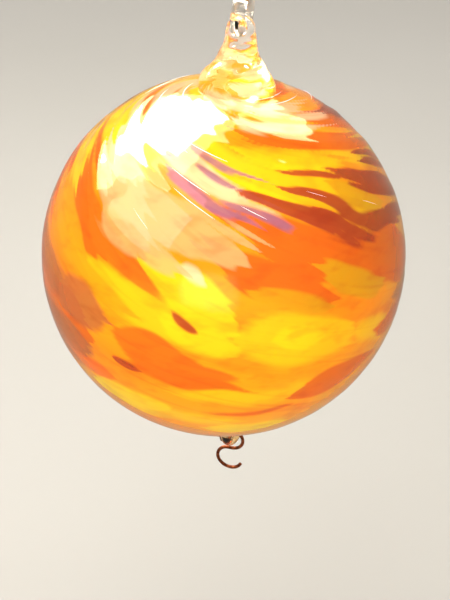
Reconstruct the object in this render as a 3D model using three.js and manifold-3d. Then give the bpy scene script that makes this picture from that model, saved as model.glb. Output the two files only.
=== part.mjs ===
// A hand-blown glass float ball, made to be hung.
//
// Four pieces: the sealed ball in swirled glass, a clear glass hanger drawn up from its top and
// closed into a loop, a clear glass eye drawn down from its underside, and the wire S-hook that
// hangs in that eye to carry the next ball of a string.
//
// Millimetres, +Z up. The origin is the point on the inside of the top loop that a hook bears
// on. The front of the ball faces -Y.

import * as THREE from 'three';
import { mergeVertices } from 'three/addons/utils/BufferGeometryUtils.js';
import Module from 'manifold-3d';

// The ball: round, with its wall left out because it is sealed.
const BALL_DIAMETER = 150;
const BALL_RADIUS = BALL_DIAMETER / 2;
const BALL_SEGMENTS = 48;
const BALL_RINGS = 32;

// Glass pieces keep this gap where they are fused to each other, and wire where it bears.
const JOINT_GAP = 0.3;

// The fittings stand square on the ball a few degrees to one side of its poles, so the ball
// bulges to the left of the line it hangs on.
const FITTING_LEAN = THREE.MathUtils.degToRad(3.1);

// A fitting is a flared stem that carries a loop. Heights are counted from the ball's surface.
// lobes, lobeDepth and twist describe the soft ridges that wind up the stem.
const HANGER = {
  footRadius: 14.6,
  neckRadius: 4.4,
  flareHeight: 8.7,
  flarePower: 2.4,
  stemHeight: 19,
  capHeight: 4.4,
  lobes: 3,
  lobeDepth: 0.05,
  twist: THREE.MathUtils.degToRad(14),
  sides: 36,
  loopHeight: 27.5,
  loopHalfWidth: 6.2,
  loopHalfHeight: 6.2,
  loopTube: 2.7,
  loopTurn: THREE.MathUtils.degToRad(-16),
};
const EYE = {
  footRadius: 9.5,
  neckRadius: 3.6,
  flareHeight: 4,
  flarePower: 2,
  stemHeight: 7.6,
  capHeight: 3.6,
  lobes: 3,
  lobeDepth: 0.05,
  twist: THREE.MathUtils.degToRad(18),
  sides: 30,
  loopHeight: 15.7,
  loopHalfWidth: 5.9,
  loopHalfHeight: 6.6,
  loopTube: 2.5,
  loopTurn: THREE.MathUtils.degToRad(25),
};
const FOOT_DEPTH = 3;
const STEM_STEPS = 10;
const CAP_STEPS = 5;
const LOOP_STEPS = 30;
const LOOP_SIDES = 10;

// The S-hook, bent flat from round wire: an upper bend in the eye and a lower one left open.
const HOOK = {
  wireRadius: 0.8,
  upperRadius: 5.4,
  upperOffset: 0.6,
  upperStart: THREE.MathUtils.degToRad(205),
  upperEnd: THREE.MathUtils.degToRad(-75),
  lowerRadius: 6.05,
  lowerOffset: -0.3,
  lowerStart: THREE.MathUtils.degToRad(115),
  lowerEnd: THREE.MathUtils.degToRad(335),
  turn: THREE.MathUtils.degToRad(-20),
  pointSpacing: THREE.MathUtils.degToRad(20),
  steps: 64,
  sides: 10,
};

const BEARING_HEIGHT = HANGER.loopHeight + HANGER.loopHalfHeight - HANGER.loopTube;
const ORIGIN_REACH = BALL_RADIUS + BEARING_HEIGHT;
const BALL_CENTRE = new THREE.Vector3(
  -ORIGIN_REACH * Math.sin(FITTING_LEAN),
  0,
  -ORIGIN_REACH * Math.cos(FITTING_LEAN),
);

const wasm = await Module();
wasm.setup();

/** Moves every vertex of a geometry by a function that edits a point in place. */
function reshape(geometry, edit) {
  const position = geometry.getAttribute('position');
  const point = new THREE.Vector3();
  for (let i = 0; i < position.count; i += 1) {
    edit(point.fromBufferAttribute(position, i));
    position.setXYZ(i, point.x, point.y, point.z);
  }
  return geometry;
}

/** The closed solid of a geometry, for joining and cutting. */
function toSolid(geometry) {
  const bare = geometry.index ? geometry.toNonIndexed() : geometry.clone();
  bare.deleteAttribute('normal');
  bare.deleteAttribute('uv');
  const merged = mergeVertices(bare, 1e-4);
  return new wasm.Manifold(new wasm.Mesh({
    numProp: 3,
    vertProperties: new Float32Array(merged.getAttribute('position').array),
    triVerts: new Uint32Array(merged.getIndex().array),
  }));
}

/** The geometry of a solid that has been joined or cut. */
function toGeometry(solid) {
  const mesh = solid.getMesh();
  const geometry = new THREE.BufferGeometry();
  const points = new THREE.BufferAttribute(new Float32Array(mesh.vertProperties), mesh.numProp);
  geometry.setAttribute('position', points);
  geometry.setIndex(new THREE.BufferAttribute(new Uint32Array(mesh.triVerts), 1));
  geometry.computeVertexNormals();
  return geometry;
}

/** The ball about its own centre, larger all round by the amount given. */
function ballGeometry(allowance = 0) {
  const radius = BALL_RADIUS + allowance;
  return new THREE.SphereGeometry(radius, BALL_SEGMENTS, BALL_RINGS).rotateX(Math.PI / 2);
}

/** The stem's radius at a height above the ball: a bell that flares into the foot. */
function stemRadius(fitting, height) {
  const spread = (Math.max(height, 0) / fitting.flareHeight) ** fitting.flarePower;
  return fitting.neckRadius + (fitting.footRadius - fitting.neckRadius) / (1 + spread);
}

/** The stem's half section: from the axis below the ball, up the flare and over a round top. */
function stemProfile(fitting) {
  const profile = [
    new THREE.Vector2(0, -FOOT_DEPTH),
    new THREE.Vector2(fitting.footRadius, -FOOT_DEPTH),
  ];
  for (let step = 0; step <= STEM_STEPS; step += 1) {
    const height = fitting.stemHeight * (step / STEM_STEPS);
    profile.push(new THREE.Vector2(stemRadius(fitting, height), height));
  }
  const shoulder = stemRadius(fitting, fitting.stemHeight);
  for (let step = 1; step < CAP_STEPS; step += 1) {
    const angle = (Math.PI / 2) * (step / CAP_STEPS);
    profile.push(new THREE.Vector2(
      shoulder * Math.cos(angle),
      fitting.stemHeight + fitting.capHeight * Math.sin(angle),
    ));
  }
  profile.push(new THREE.Vector2(0, fitting.stemHeight + fitting.capHeight));
  return profile;
}

/** A flared stem with its foot below the ball's surface, ridged by a slow twist. */
function stemGeometry(fitting) {
  const geometry = new THREE.LatheGeometry(stemProfile(fitting), fitting.sides);
  geometry.rotateX(Math.PI / 2);
  return reshape(geometry, (point) => {
    const around = Math.atan2(point.y, point.x) - fitting.twist * point.z;
    const swell = 1 + fitting.lobeDepth * Math.cos(fitting.lobes * around);
    point.set(point.x * swell, point.y * swell, point.z);
  });
}

/** An upright closed loop of even thickness, taller or wider than a circle as its sizes say. */
function loopGeometry(fitting) {
  const { loopHalfWidth, loopHalfHeight, loopTube } = fitting;
  const geometry = new THREE.TorusGeometry(loopHalfWidth, loopTube, LOOP_SIDES, LOOP_STEPS);
  reshape(geometry, (point) => {
    point.y += (loopHalfHeight - loopHalfWidth) * Math.sin(Math.atan2(point.y, point.x));
  });
  geometry.rotateX(Math.PI / 2);
  geometry.rotateZ(Math.PI / 2 + fitting.loopTurn);
  return geometry.translate(0, 0, fitting.loopHeight);
}

/** A stem and its loop as one body, leaned about the ball's centre and cut to sit on the ball. */
function fittingGeometry(fitting, lean) {
  const stem = toSolid(stemGeometry(fitting).translate(0, 0, BALL_RADIUS).rotateY(lean));
  const loop = toSolid(loopGeometry(fitting).translate(0, 0, BALL_RADIUS).rotateY(lean));
  return toGeometry(stem.add(loop).subtract(toSolid(ballGeometry(JOINT_GAP))));
}

/** Points along an arc in the XZ plane, both ends included. */
function arcPoints(centreX, centreZ, radius, start, end) {
  const count = Math.ceil(Math.abs(end - start) / HOOK.pointSpacing);
  return Array.from({ length: count + 1 }, (_, i) => {
    const angle = start + (end - start) * (i / count);
    return new THREE.Vector3(
      centreX + radius * Math.cos(angle),
      0,
      centreZ + radius * Math.sin(angle),
    );
  });
}

/** The S-hook, hanging from the top of its upper bend at the height zero. */
function hookGeometry() {
  const upper = arcPoints(
    HOOK.upperOffset, -HOOK.upperRadius, HOOK.upperRadius, HOOK.upperStart, HOOK.upperEnd,
  );
  const lowerCentre = -2 * HOOK.upperRadius - HOOK.lowerRadius;
  const lower = arcPoints(
    HOOK.lowerOffset, lowerCentre, HOOK.lowerRadius, HOOK.lowerStart, HOOK.lowerEnd,
  );
  const section = new THREE.Shape();
  section.absarc(0, 0, HOOK.wireRadius, 0, 2 * Math.PI);
  return new THREE.ExtrudeGeometry(section, {
    steps: HOOK.steps,
    curveSegments: HOOK.sides / 2,
    bevelEnabled: false,
    extrudePath: new THREE.CatmullRomCurve3([...upper, ...lower]),
  });
}

/** A named mesh with a material of its own. */
function piece(name, geometry, color, roughness, metalness = 0) {
  const material = new THREE.MeshStandardMaterial({ color, roughness, metalness });
  const mesh = new THREE.Mesh(geometry, material);
  mesh.name = name;
  return mesh;
}

/** The ball with the two fittings fused to it, about the ball's centre. */
function glassBall() {
  const group = new THREE.Group();
  group.add(piece('glass_ball', ballGeometry(), 0xf2a01e, 0.06));
  group.add(piece('top_hanger', fittingGeometry(HANGER, FITTING_LEAN), 0xf4efe2, 0.04));
  group.add(piece('bottom_eye', fittingGeometry(EYE, Math.PI - FITTING_LEAN), 0xf0d9b0, 0.04));
  return group;
}

/** The S-hook where it hangs: its wire just clear of the bar at the foot of the eye. */
function wireHook() {
  const hook = piece('wire_hook', hookGeometry(), 0x7b3f1d, 0.45, 1);
  const barReach = BALL_RADIUS + EYE.loopHeight + EYE.loopHalfHeight - EYE.loopTube;
  hook.position.copy(BALL_CENTRE);
  hook.position.x += barReach * Math.sin(FITTING_LEAN) - HOOK.upperOffset;
  hook.position.z -= barReach * Math.cos(FITTING_LEAN) - JOINT_GAP - HOOK.wireRadius;
  hook.rotation.z = HOOK.turn;
  return hook;
}

const floatBall = new THREE.Group();
const ball = glassBall();
ball.position.copy(BALL_CENTRE);
floatBall.add(ball, wireHook());

export default floatBall;
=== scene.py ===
"""A hand-blown glass float ball with its clear hanger, its eye and its wire hook.

The ball is a hollow shell of swirled soda glass. Its colours are licks of coloured glass drawn out
along the swirl, with licks of painted highlight, painted reflection and painted sheen among them:
each colour has a field on the mesh that says how far inside it a place is, and the material
feathers and frays that field's edge. Everything is in metres, in the frame of the CAD.
"""

import logging
import math
from dataclasses import dataclass, field
from enum import Enum
from typing import Iterable

import bmesh
import bpy
import numpy as np
from mathutils import Matrix, Vector


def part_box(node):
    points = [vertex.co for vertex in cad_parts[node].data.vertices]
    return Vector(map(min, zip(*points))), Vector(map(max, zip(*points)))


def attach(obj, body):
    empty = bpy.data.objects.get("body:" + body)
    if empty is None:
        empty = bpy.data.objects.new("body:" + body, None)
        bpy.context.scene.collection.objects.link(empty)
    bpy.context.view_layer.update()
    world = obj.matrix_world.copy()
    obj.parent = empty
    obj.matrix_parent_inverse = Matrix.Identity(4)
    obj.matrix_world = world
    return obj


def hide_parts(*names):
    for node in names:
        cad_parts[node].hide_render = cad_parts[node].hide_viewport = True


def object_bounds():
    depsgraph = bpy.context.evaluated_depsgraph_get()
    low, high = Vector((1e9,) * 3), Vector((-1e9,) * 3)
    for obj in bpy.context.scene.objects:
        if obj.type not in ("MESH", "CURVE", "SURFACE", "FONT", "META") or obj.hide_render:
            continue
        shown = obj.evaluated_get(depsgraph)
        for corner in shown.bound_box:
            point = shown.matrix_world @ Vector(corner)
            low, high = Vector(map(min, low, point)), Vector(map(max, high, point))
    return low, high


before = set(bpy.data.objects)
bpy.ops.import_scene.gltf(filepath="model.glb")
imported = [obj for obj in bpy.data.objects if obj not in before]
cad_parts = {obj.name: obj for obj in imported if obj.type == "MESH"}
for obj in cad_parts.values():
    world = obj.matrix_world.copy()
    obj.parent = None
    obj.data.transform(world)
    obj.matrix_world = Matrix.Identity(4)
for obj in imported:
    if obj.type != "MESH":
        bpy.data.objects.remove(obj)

CAD_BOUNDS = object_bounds()
BODY = "root"
MM = 0.001
SEED = 41

# A Mix node's colour sockets go by number, because their names repeat.
FACTOR, UNDER, OVER, MIXED = 0, 6, 7, 2
COLOUR_MIX = {"data_type": "RGBA"}
SMOOTH_STEP = {"interpolation_type": "SMOOTHSTEP"}

# The most that a place counts as outside a lick, in degrees, however far off it is.
FAR_OUTSIDE = -6.0

log = logging.getLogger("float_ball")


# ---------------------------------------------------------------- small helpers


def linear(colour: str) -> tuple[float, float, float, float]:
    """Turns an sRGB hex colour to linear.

    Args:
        colour: six hex digits after a #.

    Returns:
        Red, green, blue and an alpha of one.
    """
    parts = [int(colour[i : i + 2], 16) / 255 for i in (1, 3, 5)]
    curved = [p / 12.92 if p <= 0.04045 else ((p + 0.055) / 1.055) ** 2.4 for p in parts]
    return (*curved, 1.0)


def add_node(
    tree: bpy.types.NodeTree, kind: str, settings: dict | None = None, inputs: dict | None = None
) -> bpy.types.Node:
    """Adds a node with its settings, and sets or links its inputs.

    Args:
        tree: the tree that the node goes in.
        kind: the node's type name.
        settings: the node's own properties.
        inputs: for each input, by name or number, a value, a socket, or a node whose first output
            feeds it.

    Returns:
        The new node.
    """
    node = tree.nodes.new(kind)
    for name, value in (settings or {}).items():
        setattr(node, name, value)
    for key, value in (inputs or {}).items():
        if isinstance(value, bpy.types.Node):
            value = value.outputs[0]
        if isinstance(value, bpy.types.NodeSocket):
            tree.links.new(value, node.inputs[key])
        else:
            node.inputs[key].default_value = value
    return node


def new_material(name: str) -> tuple[bpy.types.Material, bpy.types.NodeTree, bpy.types.NodeSocket]:
    """Makes an empty node material.

    Args:
        name: what the real material is.

    Returns:
        The material, its node tree, and the socket that gives places on the piece in metres.
    """
    material = bpy.data.materials.new(name)
    material.use_nodes = True
    material.node_tree.nodes.clear()
    place = add_node(material.node_tree, "ShaderNodeTexCoord").outputs["Object"]
    return material, material.node_tree, place


def finish_material(tree: bpy.types.NodeTree, inputs: dict) -> None:
    """Ends a material's tree in a Principled shader and an output.

    Args:
        tree: the material's node tree.
        inputs: the shader's inputs.
    """
    shader = add_node(tree, "ShaderNodeBsdfPrincipled", inputs=inputs)
    add_node(tree, "ShaderNodeOutputMaterial", inputs={"Surface": shader})


def mesh_of(name: str, points: np.ndarray, faces: Iterable) -> bpy.types.Mesh:
    """Makes a smooth-shaded mesh.

    Args:
        name: the mesh's name.
        points: its points, in metres.
        faces: its faces, as lists of point numbers.

    Returns:
        The mesh.
    """
    mesh = bpy.data.meshes.new(name)
    mesh.from_pydata(np.asarray(points).tolist(), [], [list(f) for f in faces])
    mesh.polygons.foreach_set("use_smooth", [True] * len(mesh.polygons))
    return mesh


def object_of(
    name: str, data: bpy.types.ID, material: bpy.types.Material | None = None
) -> bpy.types.Object:
    """Puts data in the scene as an object at the origin.

    Args:
        name: the object's name.
        data: a mesh, a curve, a light or a camera.
        material: what it is dressed in.

    Returns:
        The object.
    """
    obj = bpy.data.objects.new(name, data)
    bpy.context.scene.collection.objects.link(obj)
    if material is not None:
        data.materials.clear()
        data.materials.append(material)
    return obj


def baked(obj: bpy.types.Object) -> bpy.types.Mesh:
    """Takes the plain mesh of an object with its modifiers applied, and removes the object.

    Args:
        obj: an object with modifiers.

    Returns:
        The mesh.
    """
    bpy.context.view_layer.update()
    evaluated = obj.evaluated_get(bpy.context.evaluated_depsgraph_get())
    mesh = bpy.data.meshes.new_from_object(evaluated)
    mesh.transform(obj.matrix_world)
    bpy.data.objects.remove(obj)
    return mesh


def joined(name: str, meshes: list[bpy.types.Mesh]) -> bpy.types.Mesh:
    """Puts several meshes into one.

    Args:
        name: the new mesh's name.
        meshes: the meshes, in metres.

    Returns:
        One smooth-shaded mesh.
    """
    shell = bmesh.new()
    for mesh in meshes:
        shell.from_mesh(mesh)
    result = bpy.data.meshes.new(name)
    shell.to_mesh(result)
    shell.free()
    result.polygons.foreach_set("use_smooth", [True] * len(result.polygons))
    return result


def write_field(mesh: bpy.types.Mesh, name: str, values: np.ndarray) -> None:
    """Writes a number or a vector for each point of a mesh.

    Args:
        mesh: the mesh.
        name: the field's name.
        values: one number for each point, or one row of three.
    """
    kind, part = ("FLOAT", "value") if values.ndim == 1 else ("FLOAT_VECTOR", "vector")
    layer = mesh.attributes.new(name, kind, "POINT")
    layer.data.foreach_set(part, values.astype(np.float32).ravel())


def lathe_faces(rows: int, count: int) -> list[list[int]]:
    """The faces of a turned shape: rings of points from the top down, then its two end points.

    Args:
        rows: how many rings there are.
        count: how many points each ring has.

    Returns:
        The outward faces.
    """
    after = (np.arange(count) + 1) % count
    top, bottom, last = rows * count, rows * count + 1, (rows - 1) * count
    faces = []
    for upper in range(0, last, count):
        lower = upper + count
        faces += [[upper + s, lower + s, lower + after[s], upper + after[s]] for s in range(count)]
    for s in range(count):
        faces.append([top, s, after[s]])
        faces.append([bottom, last + after[s], last + s])
    return faces


def declare(obj: bpy.types.Object, slot: str, *nodes: str) -> bpy.types.Object:
    """Hangs a finished piece on the body and hides the CAD nodes that it stands for.

    Args:
        obj: the finished piece.
        slot: the record's material slot; not used.
        nodes: the CAD nodes that it stands for.

    Returns:
        The same piece.
    """
    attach(obj, BODY)
    if nodes:
        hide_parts(*nodes)
    return obj


def geometry_tree(name: str, sizes: dict[str, float]) -> tuple[bpy.types.NodeTree, bpy.types.Node]:
    """Starts a Geometry Nodes tree that works on the object's own geometry.

    Args:
        name: the tree's name.
        sizes: its named number inputs, with their values.

    Returns:
        The tree, and its group input node.
    """
    tree = bpy.data.node_groups.new(name, "GeometryNodeTree")
    tree.interface.new_socket("Geometry", in_out="INPUT", socket_type="NodeSocketGeometry")
    for size, value in sizes.items():
        socket = tree.interface.new_socket(size, in_out="INPUT", socket_type="NodeSocketFloat")
        socket.default_value = value
    tree.interface.new_socket("Geometry", in_out="OUTPUT", socket_type="NodeSocketGeometry")
    return tree, add_node(tree, "NodeGroupInput")


def end_tree(tree: bpy.types.NodeTree, geometry: bpy.types.Node, material: bpy.types.Material) -> None:
    """Ends a Geometry Nodes tree in Realize Instances and Set Material.

    Args:
        tree: the tree.
        geometry: the node that makes its geometry.
        material: what that is dressed in.
    """
    real = add_node(tree, "GeometryNodeRealizeInstances", inputs={"Geometry": geometry})
    dressed = add_node(
        tree, "GeometryNodeSetMaterial", inputs={"Geometry": real, "Material": material}
    )
    add_node(tree, "NodeGroupOutput", inputs={0: dressed})


def run_tree(tree: bpy.types.NodeTree, sizes: dict[str, float], data: bpy.types.ID) -> bpy.types.Mesh:
    """Runs a Geometry Nodes tree on some data and takes the plain mesh.

    Args:
        tree: the tree.
        sizes: the values of its named inputs.
        data: the mesh or curve that it works on.

    Returns:
        The mesh that the tree makes.
    """
    carrier = object_of(tree.name, data)
    modifier = carrier.modifiers.new(tree.name, "NODES")
    modifier.node_group = tree
    for item in tree.interface.items_tree:
        if item.in_out == "INPUT" and item.name in sizes:
            modifier[item.identifier] = sizes[item.name]
    return baked(carrier)


def rods(
    name: str,
    curve: bpy.types.Curve,
    sizes: dict[str, float],
    sides: int,
    material: bpy.types.Material,
    least_end: float | None = None,
) -> bpy.types.Mesh:
    """Sweeps a round rod along each curve with a Geometry Nodes tree.

    Args:
        name: the tree's name.
        curve: the rods' middle lines.
        sizes: the rod's Radius and the Step between its rings, in metres.
        sides: how many sides the rod has.
        material: what it is dressed in.
        least_end: for rods that thin out to both ends, the share of the radius left there; they
            also follow the curve's own radius.

    Returns:
        The mesh of all the rods.
    """
    tree, given = geometry_tree(name, sizes)
    even = add_node(
        tree,
        "GeometryNodeResampleCurve",
        {"mode": "LENGTH"},
        {"Curve": given.outputs["Geometry"], "Length": given.outputs["Step"]},
    )
    section = add_node(
        tree,
        "GeometryNodeCurvePrimitiveCircle",
        inputs={"Resolution": sides, "Radius": given.outputs["Radius"]},
    )
    sweep = {"Curve": even, "Profile Curve": section, "Fill Caps": True}
    if least_end is not None:
        share = add_node(tree, "GeometryNodeSplineParameter").outputs["Factor"]
        own = add_node(tree, "GeometryNodeInputRadius")
        taper = (("MULTIPLY", math.pi), ("SINE", 0), ("POWER", 2), ("MAXIMUM", least_end))
        for operation, other in taper:
            share = add_node(tree, "ShaderNodeMath", {"operation": operation}, {0: share, 1: other})
        sweep["Scale"] = add_node(tree, "ShaderNodeMath", {"operation": "MULTIPLY"}, {0: share, 1: own})
    swept = add_node(tree, "GeometryNodeCurveToMesh", inputs=sweep)
    end_tree(tree, add_node(tree, "GeometryNodeSetShadeSmooth", inputs={"Geometry": swept}), material)
    return run_tree(tree, sizes, curve)


# ---------------------------------------------------------------- finishes


@dataclass(frozen=True)
class Tint:
    """One tint of the swirl: a coloured glass, a painted highlight, a painted reflection, or glass with
    painted sheen.

    softness is how many degrees of arc it feathers over, ragged by how many degrees the drawn
    streaks move its edge, and cover how much it hides the glass under it.
    """

    attribute: str
    colour: str
    softness: float
    ragged: float
    cover: float


class SwirlTint(Enum):
    """Coloured glasses and painted highlight, reflection and sheen, from the lowest layer to the topmost.
    """

    LEMON = Tint("tint_lemon", "#FFD804", 1.8, 0.6, 0.92)
    ORANGE = Tint("tint_orange", "#E87202", 0.8, 0.9, 0.94)
    FLAME = Tint("tint_flame", "#FF7C08", 0.8, 1.0, 0.92)
    OLIVE = Tint("tint_olive", "#E2B002", 0.8, 0.7, 0.88)
    BUTTER = Tint("tint_butter", "#FFE404", 1.0, 0.9, 0.9)
    MAUVE = Tint("tint_mauve", "#C0703C", 1.3, 1.8, 0.8)
    # Painted highlight in cream: the highlight's fringe, the bright arcs on the ridges and the glints
    # round the hanger's foot.
    PAINTED_HIGHLIGHT = Tint("tint_painted_highlight", "#FFE2B4", 1.1, 2.0, 0.85)
    # Painted reflection: the peach veil that the bright sky makes in the gloss below the highlight.
    PAINTED_REFLECTION = Tint("tint_painted_reflection", "#FFC27C", 0.9, 2.4, 0.78)
    RUST = Tint("tint_rust", "#B2421A", 0.5, 1.6, 0.94)
    # Dark aubergine streak glass, lightened to lilac with painted sheen of the reflected haze.
    AUBERGINE_AND_SHEEN = Tint("tint_aubergine_and_sheen", "#A2708E", 0.6, 1.0, 0.86)


@dataclass(frozen=True)
class SwirledGlass:
    """Soda glass blown with rolled-in coloured frit, fire-polished and fumed.

    Half of the light passes and half glows back from the colour, so it looks lit from within; the
    fire-polish keeps its highlights sharp, and the fumed film turns them faintly pink and blue.
    """

    name: str = "fumed soda glass with rolled in colour"
    gold: str = "#FFB404"
    amber: str = "#FFA403"
    transmission: float = 0.5
    roughness: float = 0.05
    gloss: float = 0.32
    ior: float = 1.5
    film_thickness: float = 340.0
    film_ior: float = 1.56
    blotch: float = 48 * MM
    blotch_flatness: float = 2.2
    blotch_edge: tuple[float, float] = (0.40, 0.62)
    mottle: float = 11 * MM
    mottle_edge: tuple[float, float] = (0.45, 0.75)
    streak_scale: float = 1.82
    streak_edge: tuple[float, float] = (0.5, 0.8)
    streak_gain: float = 2.0
    shade: str = "#D89048"
    shade_share: float = 0.3

    def make(self) -> bpy.types.Material:
        """Builds the material.

        Returns:
            The material, which reads the fields that the ball writes on its mesh.
        """
        material, tree, place = new_material(self.name)
        swirl = add_node(tree, "ShaderNodeAttribute", {"attribute_name": "swirl"}).outputs["Vector"]
        fray = add_node(tree, "ShaderNodeAttribute", {"attribute_name": "fray"}).outputs["Fac"]
        level = add_node(
            tree, "ShaderNodeMapping", inputs={"Vector": place, "Scale": (1.0, 1.0, self.blotch_flatness)}
        )
        noises, tones = [], []
        for vector, scale, detail, (low, high) in (
            (level, 1 / self.blotch, 1.0, self.blotch_edge),
            (level, 1 / self.mottle, 2.0, self.mottle_edge),
            (swirl, self.streak_scale, 2.0, self.streak_edge),
        ):
            noise = {"Vector": vector, "Scale": scale, "Detail": detail}
            noises.append(add_node(tree, "ShaderNodeTexNoise", inputs=noise))
            step = {"Value": noises[-1], "From Min": low, "From Max": high}
            tones.append(add_node(tree, "ShaderNodeMapRange", SMOOTH_STEP, step))
        glow = {FACTOR: tones[0], UNDER: linear(self.gold), OVER: linear(self.amber)}
        ground = add_node(tree, "ShaderNodeMix", COLOUR_MIX, glow).outputs[MIXED]
        centred = add_node(
            tree,
            "ShaderNodeMath",
            {"operation": "MULTIPLY_ADD"},
            {0: noises[2], 1: self.streak_gain, 2: -self.streak_gain / 2},
        )
        streak = add_node(tree, "ShaderNodeMath", {"operation": "MULTIPLY"}, {0: centred, 1: fray})
        # The cream, peach and lilac tints paint highlight, reflection and sheen into the colour, among the
        # coloured glasses.
        for tint in SwirlTint:
            ground = self._layer(tree, tint.value, streak, ground)
        for tone in tones[1:]:
            share = add_node(
                tree, "ShaderNodeMath", {"operation": "MULTIPLY"}, {0: tone, 1: self.shade_share}
            )
            ground = add_node(
                tree,
                "ShaderNodeMix",
                {**COLOUR_MIX, "blend_type": "MULTIPLY"},
                {FACTOR: share, UNDER: ground, OVER: linear(self.shade)},
            ).outputs[MIXED]
        finish_material(
            tree,
            {
                "Base Color": ground,
                "Roughness": self.roughness,
                "IOR": self.ior,
                "Specular IOR Level": self.gloss,
                "Transmission Weight": self.transmission,
                "Thin Film Thickness": self.film_thickness,
                "Thin Film IOR": self.film_ior,
            },
        )
        return material

    def _layer(
        self, tree: bpy.types.NodeTree, tint: Tint, streak: bpy.types.Node, under: bpy.types.NodeSocket
    ) -> bpy.types.NodeSocket:
        """Lays one tint over the glass under it.

        Args:
            tree: the material's node tree.
            tint: the coloured glass.
            streak: noise along the swirl, from about -1 to 1.
            under: the colour under it.

        Returns:
            The new colour.
        """
        inside = add_node(tree, "ShaderNodeAttribute", {"attribute_name": tint.attribute}).outputs["Fac"]
        frayed = add_node(
            tree, "ShaderNodeMath", {"operation": "MULTIPLY_ADD"}, {0: streak, 1: tint.ragged, 2: inside}
        )
        edge = add_node(
            tree,
            "ShaderNodeMapRange",
            SMOOTH_STEP,
            {"Value": frayed, "From Min": -tint.softness, "From Max": tint.softness},
        )
        cover = add_node(tree, "ShaderNodeMath", {"operation": "MULTIPLY"}, {0: edge, 1: tint.cover})
        mixed = {FACTOR: cover, UNDER: under, OVER: linear(tint.colour)}
        return add_node(tree, "ShaderNodeMix", COLOUR_MIX, mixed).outputs[MIXED]


@dataclass(frozen=True)
class ClearGlass:
    """Clear soda glass, gathered hot and drawn out by hand.

    It is see-through and sharp; slow cords in the metal bend what is behind it, and wisps of the
    ball's amber were pulled into its foot.
    """

    name: str
    clear: str = "#FBF7F0"
    wisp: str = "#F4C878"
    wisp_share: float = 0.5
    wisp_edge: tuple[float, float] = (0.5, 0.72)
    roughness: float = 0.02
    ior: float = 1.5
    cord_spacing: float = 3.0 * MM
    cord_curl: float = 1.2
    cord_strength: float = 0.25
    cord_depth: float = 0.2 * MM

    def make(self) -> bpy.types.Material:
        """Builds the material.

        Returns:
            The material.
        """
        material, tree, place = new_material(self.name)
        noise = {
            "Vector": place, "Scale": 1 / self.cord_spacing, "Detail": 1.0, "Distortion": self.cord_curl
        }
        cords = add_node(tree, "ShaderNodeTexNoise", inputs=noise)
        low, high = self.wisp_edge
        wisps = {"Value": cords, "From Min": low, "From Max": high, "To Max": self.wisp_share}
        share = add_node(tree, "ShaderNodeMapRange", SMOOTH_STEP, wisps)
        tinged = {FACTOR: share, UNDER: linear(self.clear), OVER: linear(self.wisp)}
        relief = {"Height": cords, "Strength": self.cord_strength, "Distance": self.cord_depth}
        finish_material(
            tree,
            {
                "Base Color": add_node(tree, "ShaderNodeMix", COLOUR_MIX, tinged).outputs[MIXED],
                "Roughness": self.roughness,
                "IOR": self.ior,
                "Transmission Weight": 1.0,
                "Normal": add_node(tree, "ShaderNodeBump", inputs=relief),
            },
        )
        return material


@dataclass(frozen=True)
class MottledFinish:
    """A plain finish of two close colours that drift into each other."""

    name: str
    first: str
    second: str
    spacing: float
    roughness: float

    def make(self) -> bpy.types.Material:
        """Builds the material.

        Returns:
            The material.
        """
        material, tree, place = new_material(self.name)
        noise = add_node(tree, "ShaderNodeTexNoise", inputs={"Vector": place, "Scale": 1 / self.spacing})
        mixed = {FACTOR: noise, UNDER: linear(self.first), OVER: linear(self.second)}
        colour = add_node(tree, "ShaderNodeMix", COLOUR_MIX, mixed).outputs[MIXED]
        finish_material(tree, {"Base Color": colour, "Roughness": self.roughness})
        return material


@dataclass(frozen=True)
class MilkGlassAndHighlight(MottledFinish):
    """Fine opal thread, trailed on and melted nearly flush: milky, glossy, cool white, painted highlight.
    """

    name: str = "trailed opal glass and painted highlight"
    first: str = "#FFFDF8"
    second: str = "#E9DFF4"
    spacing: float = 2.5 * MM
    roughness: float = 0.12


@dataclass(frozen=True)
class PaleFloor(MottledFinish):
    """A matt painted studio floor, very slightly mottled."""

    name: str = "matt painted floor"
    first: str = "#AAA8A5"
    second: str = "#A4A29E"
    spacing: float = 1 / 3
    roughness: float = 0.85


@dataclass(frozen=True)
class WeatheredCopper:
    """Copper wire that has hung outdoors: brown oxide, worn bright where it rubs."""

    name: str = "weathered drawn copper wire"
    oxide: str = "#5A2A14"
    bright: str = "#B0603A"
    metallic: float = 0.9
    patch: float = 1.6 * MM
    patch_edge: tuple[float, float] = (0.35, 0.7)
    dull_roughness: float = 0.55
    worn_roughness: float = 0.28
    draw_mark: float = 0.25 * MM
    mark_strength: float = 0.3
    mark_depth: float = 0.05 * MM

    def make(self) -> bpy.types.Material:
        """Builds the material.

        Returns:
            The material.
        """
        material, tree, place = new_material(self.name)
        patches, marks = (
            add_node(
                tree, "ShaderNodeTexNoise", inputs={"Vector": place, "Scale": 1 / size, "Detail": detail}
            )
            for size, detail in ((self.patch, 4.0), (self.draw_mark, 2.0))
        )
        low, high = self.patch_edge
        worn = add_node(
            tree, "ShaderNodeMapRange", inputs={"Value": patches, "From Min": low, "From Max": high}
        )
        mixed = {FACTOR: worn, UNDER: linear(self.oxide), OVER: linear(self.bright)}
        rough = {"Value": patches, "To Min": self.dull_roughness, "To Max": self.worn_roughness}
        relief = {"Height": marks, "Strength": self.mark_strength, "Distance": self.mark_depth}
        finish_material(
            tree,
            {
                "Base Color": add_node(tree, "ShaderNodeMix", COLOUR_MIX, mixed).outputs[MIXED],
                "Roughness": add_node(tree, "ShaderNodeMapRange", inputs=rough),
                "Metallic": self.metallic,
                "Normal": add_node(tree, "ShaderNodeBump", inputs=relief),
            },
        )
        return material


# ---------------------------------------------------------------- the swirl


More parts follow.
